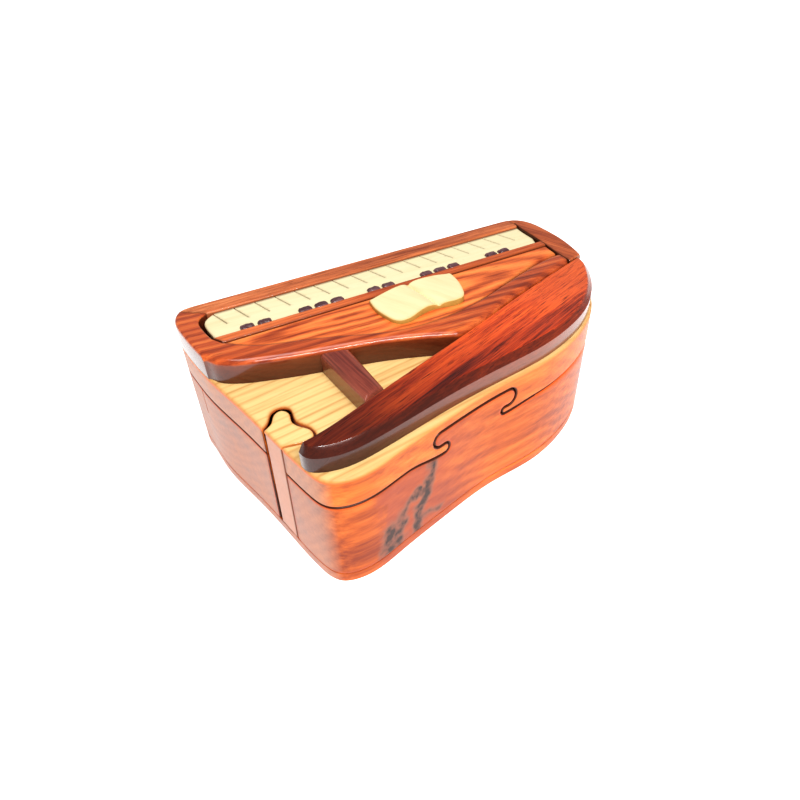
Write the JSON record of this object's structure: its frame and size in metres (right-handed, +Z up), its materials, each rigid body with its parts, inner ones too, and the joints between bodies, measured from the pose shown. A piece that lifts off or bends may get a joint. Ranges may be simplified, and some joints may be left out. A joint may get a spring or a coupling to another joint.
{
  "type": "wooden puzzle box",
  "caption": "Hand-cut wooden secret box shaped like a grand piano: hooked sliding lid, a lift-out jigsaw key that locks it, and glued-on keyboard, desk, book and open lid.",
  "frame": {"origin": "middle of the footprint, on the table", "axes": "+X along the keyboard, +Y towards the keyboard (the straight back of the box), +Z up"},
  "size_m": [0.1626, 0.1044, 0.0552],
  "materials": {
    "box_wood": "satin oil",
    "lid_wood": "satin oil",
    "key_wood": "satin oil",
    "maple_skin": "satin oil",
    "rail_wood": "gloss oil",
    "cheek_wood": "gloss oil",
    "band_wood": "gloss oil",
    "desk_wood": "gloss oil",
    "slip_wood": "gloss oil",
    "bed_wood": "satin",
    "white_key_wood": "satin",
    "black_key_wood": "satin",
    "book_wood": "satin",
    "prop_wood": "gloss oil",
    "piano_lid_wood": "gloss oil"
  },
  "bodies": {
    "box": {"base_plate": "box_wood", "body_shell": "box_wood"},
    "lid": {"lid_core": "lid_wood", "lid_face": "maple_skin", "back_rail": "rail_wood", "right_cheek": "cheek_wood", "cheek_and_band": "band_wood", "music_desk": "desk_wood", "key_slip": "slip_wood", "key_bed": "bed_wood", "keyboard": "white_key_wood", "black_key_01": "black_key_wood", "black_key_02": "black_key_wood", "black_key_03": "black_key_wood", "black_key_04": "black_key_wood", "black_key_05": "black_key_wood", "black_key_06": "black_key_wood", "black_key_07": "black_key_wood", "black_key_08": "black_key_wood", "black_key_09": "black_key_wood", "black_key_10": "black_key_wood", "black_key_11": "black_key_wood", "black_key_12": "black_key_wood", "music_book": "book_wood", "prop": "prop_wood", "piano_lid": "piano_lid_wood"},
    "key": {"key_core": "key_wood", "key_face": "maple_skin"}
  },
  "joints": [
    {"name": "key_lift", "type": "slide", "parent": "box", "child": "key", "axis": [0, 0, 1], "range_m": [0, 0.042]},
    {"name": "lid_slide", "type": "slide", "parent": "box", "child": "lid", "axis": [0, -1, 0], "range_m": [0, 0.001]}
  ]
}
